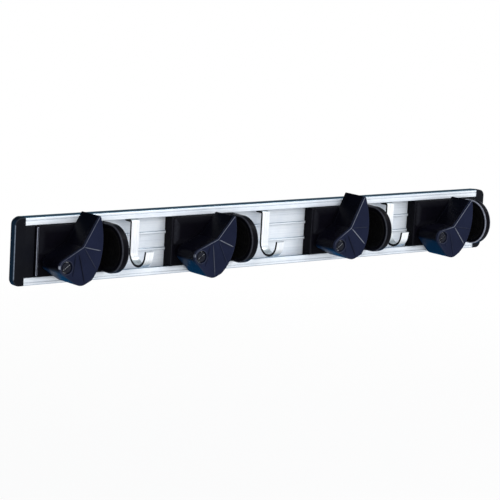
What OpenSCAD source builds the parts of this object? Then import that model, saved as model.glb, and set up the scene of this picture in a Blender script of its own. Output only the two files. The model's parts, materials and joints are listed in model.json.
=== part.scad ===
// Wall rack for mops and brooms: cam holders and strip hooks that slide in an aluminium rail.
// X runs along the rail, the wall is the plane Y = 0, the front faces -Y and Z is up.
// The origin is the middle of the rail's back face.

/* [Rail] */
// Length of the aluminium extrusion, without the end caps
rail_l = 620; // [600:1:900]
// Height of the rail
rail_h = 68; // [66:0.5:80]
// Depth of the rail, from the wall to the front of its lips
rail_d = 12; // [11.5:0.1:16]
// Thickness of the back wall
back_t = 2; // [1.5:0.1:2.4]
// Thickness of the top and bottom flanges
flange_t = 2; // [1.5:0.1:2.6]
// Height of each front lip
lip_h = 8; // [7.5:0.1:11]
// Thickness of each front lip
lip_t = 2; // [1.4:0.1:2.4]
// Depth of the bead along the inner edge of each lip
bead_d = 2.5; // [2.4:0.1:3]
// Height of that bead
bead_h = 1.5; // [1:0.1:2]
// Distance of each inner rib from the rail's centre line
rib_z = 8.6; // [8:0.1:9.4]
// Width of each inner rib
rib_w = 2.2; // [1.2:0.1:3]
// Height of each inner rib above the back wall
rib_d = 1.5; // [0.8:0.1:1.8]
// Width of the fine groove along each lip
line_w = 0.7; // [0.4:0.1:1.2]
// Depth of that groove
line_d = 0.4; // [0.2:0.05:0.6]
// Distance of each wall screw hole from its end of the rail
hole_inset = 55; // [45:1:75]
// Diameter of a wall screw hole
hole_d = 5.5; // [4:0.1:7]
// Depth of the countersink of a wall screw hole
sink_d = 1.2; // [0.6:0.1:1.4]

/* [End caps] */
// Length of each cap beyond the extrusion
cap_l = 12; // [10:0.5:16]
// Length of the cap's tongue inside the rail
tongue_l = 11; // [8:0.5:16]
// Radius of the cap's two outer corners
cap_r = 7; // [2:0.5:7]
// Bevel of the cap's outer edge towards the wall
cap_bevel = 4.5; // [2:0.5:6]
// How far the cap stands ahead of the lips
cap_proud = 0.8; // [0.4:0.1:1.5]

/* [Places along the rail] */
// Gap between each end holder and the tongue of its cap
end_gap = 1; // [0.6:0.1:3]
// Place of the second holder's pivot, as a share of half the rail
holder_2_at = -0.384; // [-0.41:0.001:-0.37]
// Place of the third holder's pivot, as a share of half the rail
holder_3_at = 0.2275; // [0.2:0.0005:0.24]
// Place of the first hook, as a share of half the rail
hook_1_at = -0.577; // [-0.6:0.001:-0.56]
// Place of the second hook, as a share of half the rail
hook_2_at = -0.024; // [-0.06:0.001:0.04]
// Place of the third hook, as a share of half the rail
hook_3_at = 0.558; // [0.54:0.001:0.58]

/* [Carriage] */
// Distance from the pivot to the carriage's left end
car_left = 13.5; // [10.5:0.5:16]
// Distance of the front panel ahead of the lips
panel_d = 4; // [3.5:0.1:6]
// Height of the panel's lower edge, where the front steps back
step_z = -4; // [-5:0.1:0]
// Depth of that step
step_d = 1.2; // [0.6:0.1:1.5]
// Wall thickness of the hollow carriage
car_wall = 2.6; // [2:0.1:3]
// Sliding clearance in the rail
slide_gap = 0.3; // [0.2:0.05:0.4]
// Height of the pivot below the rail's centre line
pivot_drop = 11; // [10:0.1:12]
// Radius of the stop peg
peg_r = 2; // [1.5:0.1:2.4]
// Distance of the stop peg from the pivot
peg_arm = 17; // [15.5:0.1:18]
// Direction of the stop peg from the pivot
peg_angle = -8; // [-10:0.5:-4]

/* [Cheek and grip disc] */
// Distance from the pivot to the disc's gripping face
grip_x = 64; // [60:0.5:72]
// Thickness of the cheek
cheek_t = 9; // [6:0.5:9.5]
// How much lower than the slot's edges the cheek is, above and below
cheek_inset = 0.7; // [0:0.1:2]
// Distance of the cheek's round front ahead of the lips
cheek_d = 39; // [34:0.5:44]
// Radius of the rubber grip disc
grip_r = 20.5; // [16:0.5:22]
// Distance of the disc from the cheek's round front
grip_edge = 4.2; // [3:0.1:8]
// Depth of the disc's seat in the cheek
seat_d = 2; // [1.5:0.1:3]
// Gap round the disc in its seat
seat_gap = 0.1; // [0.05:0.05:0.2]
// How far the disc stands proud of the cheek
grip_proud = 1; // [0.6:0.1:2]

/* [Jaw] */
// Radius of the cam's rim level with the pivot
cam_r = 41; // [39:0.5:42]
// Growth of that radius for each radian of turn
cam_growth = 0.39; // [0.36:0.01:0.42]
// Change of that growth towards the heel
cam_bend = 0.1; // [0.06:0.01:0.13]
// Rise of that growth towards the tip of each fan, from left to right
tip_bend = [0.22, 0.1, 0.2, 0.11];
// Direction of the cam's tip from the pivot
tip_angle = 44; // [40:1:46]
// Direction in which the spiral rim starts, below the pivot
rim_start = -35; // [-37:1:-34]
// Radius of the round heel
heel_r = 12; // [11:0.1:12.5]
// Distance of the heel's centre to the right of the pivot
heel_x = 16.5; // [15.5:0.1:17.5]
// Distance of each heel's centre below its pivot, from left to right
heel_drop = [10, 10.9, 8.6, 11.8];
// Distance of each fan's notch to the right of its pivot, from left to right
notch_x = [22, 21, 18.6, 16.8];
// Distance of each fan's notch above its pivot, from left to right
notch_z = [16, 17, 14.3, 11.5];
// Radius of the hub round the pivot
hub_r = 8; // [7.6:0.1:9]
// Running gap between the jaw and the carriage
run_gap = 0.4; // [0.3:0.05:0.8]
// Distance of the fan's front ahead of the lips
jaw_d = 38; // [34:0.5:42]
// Thickness of the jaw's back and front flanges
jaw_flange = 3.4; // [3:0.1:4]
// Thickness of the fan cover
cover_t = 3.2; // [3:0.1:4]
// Wall of the hollow jaw
jaw_wall = 2.4; // [2:0.1:3]
// Greatest lift of a jaw from its stop
lift_max = 35; // [30:1:36]
// Lift of each jaw as it stands, from left to right
lifts = [9, 0, 15, 0];

/* [Fan pleats] */
// Width of a pleat's ridge
ridge_w = 1.3; // [0.8:0.1:2]
// Height of a pleat's ridge and of the ring round the bolt's head
ridge_h = 0.7; // [0.4:0.1:1.2]
// Width of that ring
ring_w = 1.1; // [0.8:0.1:1.2]

/* [Tread] */
// Thickness of the rubber tread
tread_t = 2.2; // [1.8:0.1:3]
// Height of the tread's teeth
tooth_h = 0.8; // [0.4:0.1:1.2]
// Number of teeth
teeth = 20; // [14:1:28]
// Direction in which the tread starts, from the pivot
tread_start = -33; // [-34:1:-28]
// Direction in which the tread ends, from the pivot
tread_end = 36; // [30:1:37]

/* [Pivot] */
// Radius of the pivot bolt's shank
bolt_r = 3; // [2.5:0.1:3.2]
// Radius of the bolt's head
head_r = 5; // [4.5:0.1:5.4]
// Height of the bolt's head
head_h = 2.2; // [1.6:0.1:2.2]
// Thickness of the washer
washer_t = 0.8; // [0.5:0.1:0.9]
// Width of the nut across its flats
nut_af = 10; // [9:0.1:10.5]
// Thickness of the nut
nut_t = 4.6; // [4:0.1:5]
// Radial running clearance on the bolt
bolt_gap = 0.05; // [0.03:0.01:0.08]

/* [Hooks] */
// Width of the hook's strip
hook_w = 10; // [8:0.5:14]
// Thickness of the strip
hook_t = 2.6; // [1.6:0.1:2.6]
// Outer radius of the hook's bend
hook_r = 14.3; // [11:0.1:16]
// Height of the bend's centre
hook_z = -7; // [-9:0.1:-4]
// Length of the hook's tip beyond its bend
tip_l = 6; // [3:0.5:10]
// Outward lean of the tip
tip_lean = 10; // [0:1:20]

/* [Hidden] */
$fn = 64;
overlap = 1;
HOLDERS = [1 : 4];
HOOKS = [1 : 3];
HOLDER_PARTS = ["carriage", "grip_disc", "jaw_body", "jaw_cover", "jaw_tread",
                "pivot_bolt", "pivot_washer", "pivot_nut"];

// The rail's section, where depths are measured ahead of the front of the lips
slot_h = rail_h - 2 * lip_h;
inner_h = rail_h - 2 * flange_t;
floor_d = back_t - rail_d;
rib_top_d = floor_d + rib_d;
bead_back_d = -lip_t - bead_d;

// The carriage's section
foot_h = inner_h - 2 * slide_gap;
foot_back_d = floor_d + slide_gap;
foot_front_d = bead_back_d - slide_gap;
neck_h = slot_h - 2 * slide_gap;
rib_clear_d = rib_top_d + slide_gap;
groove_w = rib_w + 4 * slide_gap;
low_panel_d = panel_d - step_d;
head_relief_h = 2 * (rib_z - groove_w / 2) - 2;
head_relief_d = floor_d + 5;

// The cheek and the carriage's right end
cheek_x = grip_x + grip_proud;
car_right = cheek_x + cheek_t;
cheek_r = neck_h / 2 - cheek_inset;
cheek_c = cheek_d - cheek_r;
grip_c = cheek_d - grip_edge - grip_r;

// The jaw's layers, measured ahead of the lips
jaw_back_d = panel_d + run_gap;
cover_back_d = jaw_d - ridge_h - cover_t;
tread_back_d = jaw_back_d + jaw_flange;
tread_front_d = cover_back_d - jaw_flange;
cam_step = 3.5;
slot_r = peg_r + run_gap;
post_r = hub_r - 0.8;

// The pivot's stack
washer_d = cover_back_d + run_gap / 2;
head_d = washer_d + washer_t;
washer_r = head_r + 0.9;
head_hole_r = washer_r + 0.5;
nut_back_d = rib_clear_d;
boss_r = hub_r;
bore_r = bolt_r + bolt_gap;

// Places of the holders' pivots and of the hooks along the rail
half_l = rail_l / 2;
hole_x = half_l - hole_inset;
tongue_end = half_l - tongue_l;
holder_x = [
    -tongue_end + end_gap + car_left,
    holder_2_at * half_l,
    holder_3_at * half_l,
    tongue_end - end_gap - car_right];
hook_x = [hook_1_at, hook_2_at, hook_3_at] * half_l;

// Moves a shape drawn with X right, Y up and Z forward to the rail, with Z counted from the lips
module at_rail(x) {
    translate([x, -rail_d, 0]) rotate([90, 0, 0]) children();
}

// Moves a shape to a jaw's pivot and turns it to that jaw's lift
module at_pivot(i, turn = 0) {
    at_rail(holder_x[i - 1]) translate([0, -pivot_drop, 0]) rotate(turn) children();
}

// Extrudes a section, drawn with its depth ahead of the lips and its height, along X
module along_rail(length) {
    translate([0, -rail_d, 0]) rotate([90, 0, 90]) linear_extrude(length, center = true)
        mirror([1, 0]) children();
}

// A box between two depths and two heights
module section_box(d0, d1, z0, z1) {
    translate([d0, z0]) square([d1 - d0, z1 - z0]);
}

// Both copies of a shape that lies the same above and below the centre line
module top_and_bottom() {
    children();
    mirror([0, 1]) children();
}

module rail_section() {
    section_box(-rail_d, floor_d, -rail_h / 2, rail_h / 2);
    top_and_bottom() {
        section_box(-rail_d, 0, inner_h / 2, rail_h / 2);
        difference() {
            section_box(-lip_t, 0, slot_h / 2, rail_h / 2);
            section_box(-line_d, overlap, rail_h / 2 - lip_h / 3 - line_w, rail_h / 2 - lip_h / 3);
        }
        section_box(bead_back_d, -lip_t + overlap, slot_h / 2, slot_h / 2 + bead_h);
        section_box(floor_d - overlap, rib_top_d, rib_z - rib_w / 2, rib_z + rib_w / 2);
    }
}

module wall_hole(x) {
    at_rail(x) {
        translate([0, 0, -rail_d - overlap]) cylinder(d = hole_d, h = back_t + 2 * overlap);
        translate([0, 0, floor_d - sink_d])
            cylinder(d1 = hole_d, d2 = hole_d + 2 * sink_d, h = sink_d + 0.01);
    }
}

module rail() {
    color("#d4d7da") difference() {
        along_rail(rail_l) rail_section();
        for (side = [-1, 1]) wall_hole(side * hole_x);
    }
}

// The upper half of a cap of some length, with its outer corner rounded
module cap_outline(length) {
    r = min(cap_r, length - 0.5);
    square([length - r, rail_h / 2]);
    square([length, rail_h / 2 - r]);
    intersection() {
        translate([length - r, rail_h / 2 - r]) circle(r);
        square([length, rail_h / 2]);
    }
}

// The grooves that let a piece pass over the ribs of the rail
module rib_grooves(x0, x1) {
    for (side = [-1, 1])
        translate([x0, side * rib_z - groove_w / 2, floor_d - overlap])
            cube([x1 - x0, groove_w, rib_clear_d - floor_d + overlap]);
}

// The part of a cap that shows: its outer edge is bevelled towards the wall
module cap_block() {
    skin = 0.2;
    hull() {
        translate([0, 0, -rail_d]) linear_extrude(skin)
            top_and_bottom() cap_outline(cap_l - cap_bevel);
        translate([0, 0, cap_bevel - rail_d]) linear_extrude(rail_d - cap_bevel + cap_proud)
            top_and_bottom() cap_outline(cap_l);
    }
}

module end_cap() {
    translate([half_l, 0, 0]) cap_block();
    difference() {
        union() {
            translate([tongue_end, -neck_h / 2, foot_back_d])
                cube([tongue_l, neck_h, cap_proud - foot_back_d]);
            translate([tongue_end, -foot_h / 2, foot_back_d])
                cube([tongue_l, foot_h, foot_front_d - foot_back_d]);
        }
        rib_grooves(tongue_end - overlap, half_l);
    }
}

module end_cap_left() {
    color("#17181c") mirror([1, 0, 0]) at_rail(0) end_cap();
}

module end_cap_right() {
    color("#17181c") at_rail(0) end_cap();
}

// The cheek's outline, drawn with its depth ahead of the lips and its height
module cheek_section() {
    section_box(foot_front_d - overlap, cheek_c, -cheek_r, cheek_r);
    intersection() {
        translate([cheek_c, 0]) circle(cheek_r);
        section_box(cheek_c - overlap, cheek_d + overlap, -cheek_r, cheek_r);
    }
}

// A disc of the grip's size and place, from one distance off the pivot to another
module grip_cylinder(x0, x1, r) {
    translate([x0, 0, grip_c]) rotate([0, 90, 0]) cylinder(r = r, h = x1 - x0);
}

// The hollow block of the carriage, before its pivot boss is added
module carriage_shell() {
    length = car_left + car_right;
    inside_h = neck_h - 2 * car_wall;
    difference() {
        union() {
            translate([-car_left, -foot_h / 2, foot_back_d])
                cube([length, foot_h, foot_front_d - foot_back_d]);
            translate([-car_left, -neck_h / 2, foot_back_d])
                cube([length, neck_h, low_panel_d - foot_back_d]);
            translate([-car_left, step_z, foot_back_d])
                cube([length, neck_h / 2 - step_z, panel_d - foot_back_d]);
            translate([cheek_x, 0, 0]) rotate([0, 90, 0]) mirror([1, 0, 0])
                linear_extrude(cheek_t) cheek_section();
        }
        translate([car_wall - car_left, -inside_h / 2, foot_back_d - overlap])
            cube([car_left - 2 * car_wall + cheek_x, inside_h,
                  low_panel_d - car_wall - foot_back_d + overlap]);
        grip_cylinder(cheek_x - overlap, cheek_x + seat_d, grip_r + seat_gap);
    }
}

module carriage(i) {
    color("#14151a") at_rail(holder_x[i - 1]) difference() {
        union() {
            carriage_shell();
            translate([0, -pivot_drop, nut_back_d]) cylinder(r = boss_r, h = panel_d - nut_back_d);
            translate([0, -pivot_drop, 0]) rotate(peg_angle) translate([peg_arm, 0, 0])
                cylinder(r = peg_r, h = jaw_back_d + jaw_flange);
        }
        rib_grooves(-car_left - overlap, car_right + overlap);
        translate([-car_left - overlap, -head_relief_h / 2, foot_back_d - overlap])
            cube([car_left + car_right + 2 * overlap, head_relief_h,
                  head_relief_d - foot_back_d + overlap]);
        translate([0, -pivot_drop, foot_back_d - overlap])
            cylinder(r = bore_r, h = panel_d - foot_back_d + 2 * overlap);
        translate([0, -pivot_drop, foot_back_d - overlap])
            nut_prism(nut_af + 2 * bolt_gap, nut_back_d + nut_t - foot_back_d + overlap);
    }
}

module grip_disc(i) {
    color("#1d1d20") at_rail(holder_x[i - 1]) grip_cylinder(grip_x, cheek_x + seat_d, grip_r);
}

// A point on the cam's spiral rim, or inside it by some depth
function cam_radius(i, a) =
    let (t = a * PI / 180, bend = t > 0 ? tip_bend[i - 1] : cam_bend)
    cam_r * exp(cam_growth * t + bend * t * t);
function rim(i, a, inside = 0) = (cam_radius(i, a) - inside) * [cos(a), sin(a)];
function polar(r, a) = r * [cos(a), sin(a)];

// Directions from heel to tip in even steps
function spread(a, b, n) = [for (k = [0 : n]) a + (b - a) * k / n];
cam_angles = spread(rim_start, tip_angle, round((tip_angle - rim_start) / cam_step));
tread_angles = spread(tread_start, tread_end, teeth);

// Directions of the tangents that join the notch, the hub, the heel and the rim
function notch(i) = [notch_x[i - 1], notch_z[i - 1]];
function notch_tangent(i) = atan2(notch_z[i - 1], notch_x[i - 1]) + acos(hub_r / norm(notch(i)));
function heel(i) = [heel_x, -heel_drop[i - 1]];
function flank_tangent(i) = atan2(heel(i)[1], heel_x) - acos((hub_r - heel_r) / norm(heel(i)));
function rim_tangent(i) =
    let (run = rim(i, rim_start) - heel(i))
    atan2(run[1], run[0]) - acos(heel_r / norm(run));

// The fan: a spiral rim, a notched upper left side, a round hub and a round heel
module fan(i) {
    tuck = 0.1;
    polygon(concat(
        [for (a = cam_angles) rim(i, a)],
        [notch(i), polar(hub_r - tuck, notch_tangent(i)), polar(hub_r - tuck, flank_tangent(i)),
         heel(i) + polar(heel_r - tuck, flank_tangent(i)),
         heel(i) + polar(heel_r - tuck, rim_tangent(i))]));
    circle(hub_r);
    translate(heel(i)) circle(heel_r);
}

// The band that the tread takes up along the rim
module tread_band(i) {
    polygon(concat(
        [for (a = tread_angles) rim(i, a, tread_t)],
        [for (k = [teeth : -1 : 0]) rim(i, tread_angles[k], -2 * tooth_h)]));
}

// A curved slot that the stop peg runs in as the jaw lifts
module peg_slot() {
    end_turn = asin(slot_r / (peg_arm - slot_r));
    rotate(peg_angle - lift_max - end_turn) rotate_extrude(angle = lift_max + 2 * end_turn)
        translate([peg_arm - slot_r, 0]) square([2 * slot_r, jaw_flange + 2 * overlap]);
}

module jaw_body(i) {
    color("#16171d") at_pivot(i, lifts[i - 1]) difference() {
        union() {
            difference() {
                translate([0, 0, jaw_back_d]) linear_extrude(cover_back_d - jaw_back_d) fan(i);
                translate([0, 0, tread_back_d]) linear_extrude(tread_front_d - tread_back_d) tread_band(i);
                translate([0, 0, tread_back_d]) linear_extrude(cover_back_d - tread_back_d + overlap)
                    offset(delta = -tread_t - jaw_wall) fan(i);
            }
            translate([0, 0, jaw_back_d]) cylinder(r = post_r, h = cover_back_d - jaw_back_d);
        }
        translate([0, 0, jaw_back_d - overlap]) peg_slot();
        translate([0, 0, jaw_back_d - overlap])
            cylinder(r = bore_r, h = cover_back_d - jaw_back_d + 2 * overlap);
    }
}

// A fan's ridges, each from one point of the face to another, counted from the pivot
function pleats(i) = [
    [notch(i), rim(i, 11, ridge_w)],
    [notch(i), rim(i, -15, ridge_w)],
    [notch(i) - [6.6, 4.5], heel(i) + polar(heel_r - ridge_w, -78)],
    [notch(i) - [10, 5], polar(12, -62)]];

module pleat(ends) {
    run = ends[1] - ends[0];
    translate(ends[0]) rotate(atan2(run[1], run[0])) translate([0, -ridge_w / 2])
        square([norm(run), ridge_w]);
}

module jaw_cover(i) {
    color("#262834") at_pivot(i, lifts[i - 1]) difference() {
        union() {
            translate([0, 0, cover_back_d]) linear_extrude(cover_t) fan(i);
            translate([0, 0, cover_back_d]) linear_extrude(cover_t + ridge_h) intersection() {
                fan(i);
                for (ends = pleats(i)) pleat(ends);
            }
            translate([0, 0, cover_back_d]) cylinder(r = head_hole_r + ring_w, h = cover_t + ridge_h);
        }
        translate([0, 0, cover_back_d - overlap]) cylinder(r = head_hole_r, h = cover_t + 3 * overlap);
    }
}

module jaw_tread(i) {
    outer = [for (k = [teeth : -1 : 1]) each [
        rim(i, tread_angles[k]),
        rim(i, (tread_angles[k] + tread_angles[k - 1]) / 2, -tooth_h)]];
    color("#222225") at_pivot(i, lifts[i - 1]) translate([0, 0, tread_back_d])
        linear_extrude(tread_front_d - tread_back_d)
            polygon(concat([for (a = tread_angles) rim(i, a, tread_t)], outer, [rim(i, tread_start)]));
}

module pivot_bolt(i) {
    slot_w = 1.2;
    slot_d = 1;
    color("#b9bcc0") at_pivot(i) difference() {
        union() {
            translate([0, 0, nut_back_d]) cylinder(r = bolt_r, h = head_d - nut_back_d + overlap);
            translate([0, 0, head_d]) cylinder(r = head_r, h = head_h);
        }
        rotate(35) translate([-head_r - overlap, -slot_w / 2, head_d + head_h - slot_d])
            cube([2 * head_r + 2 * overlap, slot_w, slot_d + overlap]);
    }
}

module pivot_washer(i) {
    color("#9a9da2") at_pivot(i) translate([0, 0, washer_d]) difference() {
        cylinder(r = washer_r, h = washer_t);
        translate([0, 0, -overlap]) cylinder(r = bore_r, h = washer_t + 2 * overlap);
    }
}

// A hexagon of a given width across its flats
module nut_prism(af, h) {
    cylinder(d = af / cos(30), h = h, $fn = 6);
}

module pivot_nut(i) {
    color("#8f9297") at_pivot(i) translate([0, 0, nut_back_d]) difference() {
        nut_prism(nut_af, nut_t);
        translate([0, 0, -overlap]) cylinder(r = bore_r, h = nut_t + 2 * overlap);
    }
}

// The bent strip, drawn with its depth ahead of the lips and its height
module hook_section() {
    strip_d = slide_gap;
    top_z = inner_h / 2 - slide_gap;
    seat_z = slot_h / 2 + bead_h + slide_gap;
    neck_z = slot_h / 2 - slide_gap;
    lip_back_d = -lip_t - slide_gap;
    section_box(lip_back_d - hook_t, lip_back_d, seat_z, top_z);
    section_box(foot_back_d, lip_back_d, top_z - hook_t, top_z);
    section_box(foot_back_d, foot_back_d + hook_t, neck_z - hook_t, top_z);
    section_box(foot_back_d, strip_d + hook_t, neck_z - hook_t, neck_z);
    translate([strip_d + hook_r, hook_z]) hook_bend(neck_z - hook_z);
}

// The strip's straight drop, its half-round bend and its tip, drawn from the bend's centre
module hook_bend(drop) {
    turns = spread(180, 360 - tip_lean, 34);
    tip = polar(tip_l, 90 - tip_lean);
    inner_r = hook_r - hook_t;
    polygon(concat(
        [[-hook_r, drop]],
        [for (a = turns) polar(hook_r, a)],
        [polar(hook_r, -tip_lean) + tip, polar(inner_r, -tip_lean) + tip],
        [for (k = [len(turns) - 1 : -1 : 0]) polar(inner_r, turns[k])],
        [[-inner_r, drop]]));
}

module hook(i) {
    color("#e2e4e6") translate([hook_x[i - 1], 0, 0]) along_rail(hook_w) hook_section();
}

rail();
end_cap_left();
end_cap_right();
for (i = HOLDERS) {
    carriage(i);
    grip_disc(i);
    jaw_body(i);
    jaw_cover(i);
    jaw_tread(i);
    pivot_bolt(i);
    pivot_washer(i);
    pivot_nut(i);
}
for (i = HOOKS) {
    hook(i);
}
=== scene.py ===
"""Looks of a wall rack for mops and brooms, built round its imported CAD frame.

Helpers measure in millimetres. A holder's own frame starts at its pivot: x to the right, z up,
and d ahead of the front of the rail's lips.
"""
import json
import math

import bmesh
import bpy
from mathutils import Matrix, Vector


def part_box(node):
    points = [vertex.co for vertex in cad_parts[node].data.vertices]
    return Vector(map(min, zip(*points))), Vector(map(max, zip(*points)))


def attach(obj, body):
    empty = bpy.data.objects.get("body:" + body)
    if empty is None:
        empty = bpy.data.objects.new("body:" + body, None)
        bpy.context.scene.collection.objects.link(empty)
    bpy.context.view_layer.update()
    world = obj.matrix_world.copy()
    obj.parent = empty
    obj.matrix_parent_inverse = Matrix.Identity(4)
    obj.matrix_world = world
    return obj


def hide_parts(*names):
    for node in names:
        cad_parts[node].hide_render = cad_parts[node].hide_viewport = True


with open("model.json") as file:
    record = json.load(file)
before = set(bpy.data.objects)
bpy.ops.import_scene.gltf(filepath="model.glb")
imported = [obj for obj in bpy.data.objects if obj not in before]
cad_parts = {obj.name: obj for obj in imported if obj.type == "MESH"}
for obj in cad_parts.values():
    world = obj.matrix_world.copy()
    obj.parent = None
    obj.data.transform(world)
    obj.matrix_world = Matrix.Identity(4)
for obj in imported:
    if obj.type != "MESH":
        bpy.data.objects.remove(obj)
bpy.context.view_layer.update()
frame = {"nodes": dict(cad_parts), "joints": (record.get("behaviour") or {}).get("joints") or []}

MM = 0.001
HOLDERS = (1, 2, 3, 4)
HOOKS = (1, 2, 3)
JOINTS = {joint["name"]: joint for joint in frame["joints"]}

# The rail's section, as in the CAD source
RAIL_LO, RAIL_HI = (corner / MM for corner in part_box("rail"))
RAIL_D = -RAIL_LO.y
HALF_H = RAIL_HI.z
HALF_L = RAIL_HI.x
BACK_T = 2.0
FLANGE_T = 2.0
LIP_H = 8.0
LIP_T = 2.0
BEAD_D = 2.5
BEAD_H = 1.5
RIB_Z = 8.6
RIB_W = 2.2
RIB_D = 1.5
LINE_W = 0.7
LINE_D = 0.4
HOLE_X = 255.0
HOLE_D = 5.5
SINK_D = 1.2
SLIDE_GAP = 0.3
FLOOR_D = BACK_T - RAIL_D
INNER_H = HALF_H - FLANGE_T
SLOT_H = HALF_H - LIP_H

# The carriage, counted from the pivot
PIVOT_Z = JOINTS["jaw_1_lift"]["pos_m"][2] / MM
FOOT_BACK = FLOOR_D + SLIDE_GAP
FOOT_FRONT = -LIP_T - BEAD_D - SLIDE_GAP
FOOT_H = INNER_H - SLIDE_GAP
NECK_H = SLOT_H - SLIDE_GAP
PANEL_D = 4.0
LOW_PANEL_D = 2.8
STEP_Z = -4.0
EDGE_RIB_W = 2.0
EDGE_RIB_D = 0.5
CAR_LEFT = 13.5
CHEEK_X = 65.0
CHEEK_T = 9.0
CAR_RIGHT = CHEEK_X + CHEEK_T
CHEEK_D = 39.0
CHEEK_R = NECK_H - 0.7
CHEEK_C = CHEEK_D - CHEEK_R
GRIP_X = 64.0
GRIP_R = 20.5
GRIP_C = 14.3
SEAT_D = 2.0

# The jaw, counted from the pivot
CAM_R = 41.0
CAM_GROWTH = 0.39
CAM_BEND = 0.1
TIP_BENDS = (0.22, 0.1, 0.2, 0.11)
TIP_ANGLE = 44.0
RIM_START = -35.0
HUB_R = 8.0
HEELS = (Vector((16.5, -10)), Vector((16.5, -10.9)), Vector((16.5, -8.6)), Vector((16.5, -11.8)))
HEEL_R = 12.0
NOTCHES = (Vector((22, 16)), Vector((21, 17)), Vector((18.6, 14.3)), Vector((16.8, 11.5)))
JAW_BACK = 4.4
TREAD_BACK = 7.8
TREAD_FRONT = 30.7
COVER_BACK = 34.1
COVER_T = 3.2
FAN_TIP_R = 0.8
FAN_NOTCH_R = 1.2
RIDGE_W = 1.3
RIDGE_H = 0.7
PLEAT_ANGLES = (11.0, -15.0)
PLEAT_INSIDE = 2.2
LOW_PLEAT_START = Vector((6.6, 4.5))
LOW_PLEAT_ANGLE = -78.0
HUB_PLEAT_START = Vector((10, 5))
HUB_PLEAT_R = 12.0
HUB_PLEAT_ANGLE = -62.0
TREAD_T = 2.2
TOOTH_H = 0.8
TEETH = 20
TREAD_START = -33.0
TREAD_END = 36.0
# The hub's painted highlight spot: its direction and spread
SPOT_ANGLE = 10.0
SPOT_SPREAD = 12.0
RIM_X = 46.0
HEAD_HOLE_R = 6.4
RING_W = 1.1
FASTENER_EASE = 0.25

# The hooks
HOOK_LO, HOOK_HI = (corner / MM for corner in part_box("hook_1"))
HOOK_W = HOOK_HI.x - HOOK_LO.x
HOOK_T = 2.6
HOOK_R = 14.3
HOOK_Z = -7.0
TIP_L = 6.0
TIP_LEAN = 10.0

# The end caps
CAP_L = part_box("end_cap_right")[1].x / MM - HALF_L
CAP_R = 7.0
CAP_BEVEL = 4.5
CAP_PROUD = 0.8
TONGUE_L = 11.0
# Half the height of the painted highlight along the cap's outer end
CAP_HIGHLIGHT_REACH = 26.0

# Edge rubbing and painted highlight, as shares for the holders from left to right: the carriage's left
# rib (a painted highlight line on the first), panel (a painted sheen on its left edge) and cheek (a
# painted highlight on its rim)
RIB_WEAR_AND_HIGHLIGHT = (1.0, 0.04, 0.04, 0.03)
PANEL_SHEEN = (0.012, 0.036, 0.022, 0.022)
CHEEK_HIGHLIGHT = (0.12, 0.1, 0.12, 0.7)
# Edge rubbing and painted highlight on the fan's edge from its tip to its notch, on to its hub, and a
# painted highlight spot on its hub
FAN_WEAR_AND_HIGHLIGHT = ((0.40, 0.22, 1.9), (0.55, 0.22, 1.3), (0.60, 0.16, 0.1), (0.60, 0.18, 0.12))
# The fan's pleats from its rim down to its hub: painted highlight, and below nought painted shade
PLEAT_HIGHLIGHT_AND_SHADE = ((0.38, 0.07, -0.8, -0.5), (0.55, 0.03, 0.22, -0.4), (0.03, 0.75, -0.7, -0.2),
              (0.03, 0.65, 0.02, 0.02))
# The same on every holder and cap
RIM_WEAR = 0.03
HUB_WEAR = 0.12
RING_WEAR_AND_HIGHLIGHT = 0.06
BLOCK_WEAR = 0.02
FLAT_WEAR = 0.008
CAP_END_WEAR = 0.06

# Edges turn crisp from this angle on
CRISP = 32.0

# The picture that the camera was fitted to
IMAGE_PX = 500
FOCAL_PX = 2090.9
SENSOR_MM = 36.0


# Outlines

def polar(r, degrees):
    a = math.radians(degrees)
    return Vector((r * math.cos(a), r * math.sin(a)))


def spread(a, b, steps):
    """Even values from a to b, both included."""
    return [a + (b - a) * k / steps for k in range(steps + 1)]


def arc(centre, r, start, end, steps):
    return [centre + polar(r, a) for a in spread(start, end, steps)]


def corner_arc(last, here, after, r, steps):
    """Points of a round corner of some radius in place of a sharp one."""
    to_last, to_next = (last - here).normalized(), (after - here).normalized()
    half = to_last.angle(to_next) / 2
    centre = here + (to_last + to_next).normalized() * (r / math.sin(half))
    first = here + to_last * (r / math.tan(half)) - centre
    final = here + to_next * (r / math.tan(half)) - centre
    start = math.degrees(math.atan2(first.y, first.x))
    turn = -math.degrees(first.angle_signed(final))
    return [centre + polar(r, start + turn * share) for share in spread(0, 1, steps)]


def rounded(corners, amount=0.0, steps=5):
    """A closed outline of corners with their radii, moved inwards by some amount."""
    moved = inset([Vector(point) for point, r in corners], amount)
    made = []
    for k, (here, (point, r)) in enumerate(zip(moved, corners)):
        last, after = moved[k - 1], moved[(k + 1) % len(moved)]
        bulges = (here - last).cross(after - here) > 0
        made += corner_arc(last, here, after, max(r - amount if bulges else r + amount, 0.03), steps)
    return made


def inset(points, amount):
    """Moves a closed outline that runs anticlockwise inwards by some amount."""
    made = []
    for k, here in enumerate(points):
        before = (here - points[k - 1]).normalized()
        after = (points[(k + 1) % len(points)] - here).normalized()
        left_before = Vector((-before.y, before.x))
        left_after = Vector((-after.y, after.x))
        made.append(here + (left_before + left_after) * (amount / (1 + left_before.dot(left_after))))
    return made


def rounded_profile(start, end, r_start, r_end, steps=4, run=None, rest=0.4):
    """Rings that round both edges of a slab: each has an inset, a depth and a share of edge rubbing and
    painted highlight.

    Run stretches the inset of the last edge, and rest is a flat border inside each edge.
    """
    run = run or r_end
    quarter = [math.radians(a) for a in spread(0, 90, steps)]
    made = [(r_start + rest, start, 0)]
    for a in quarter:
        made.append((r_start * (1 - math.sin(a)), start + r_start * (1 - math.cos(a)), math.sin(2 * a)))
    for a in quarter:
        made.append((run * (1 - math.cos(a)), end - r_end * (1 - math.sin(a)), math.sin(2 * a)))
    made.append((run + rest, end, 0))
    unique = made[:1]
    for ring in made[1:]:
        if math.dist(ring[:2], unique[-1][:2]) > 1e-4:
            unique.append(ring)
    return unique


# Skins

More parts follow.
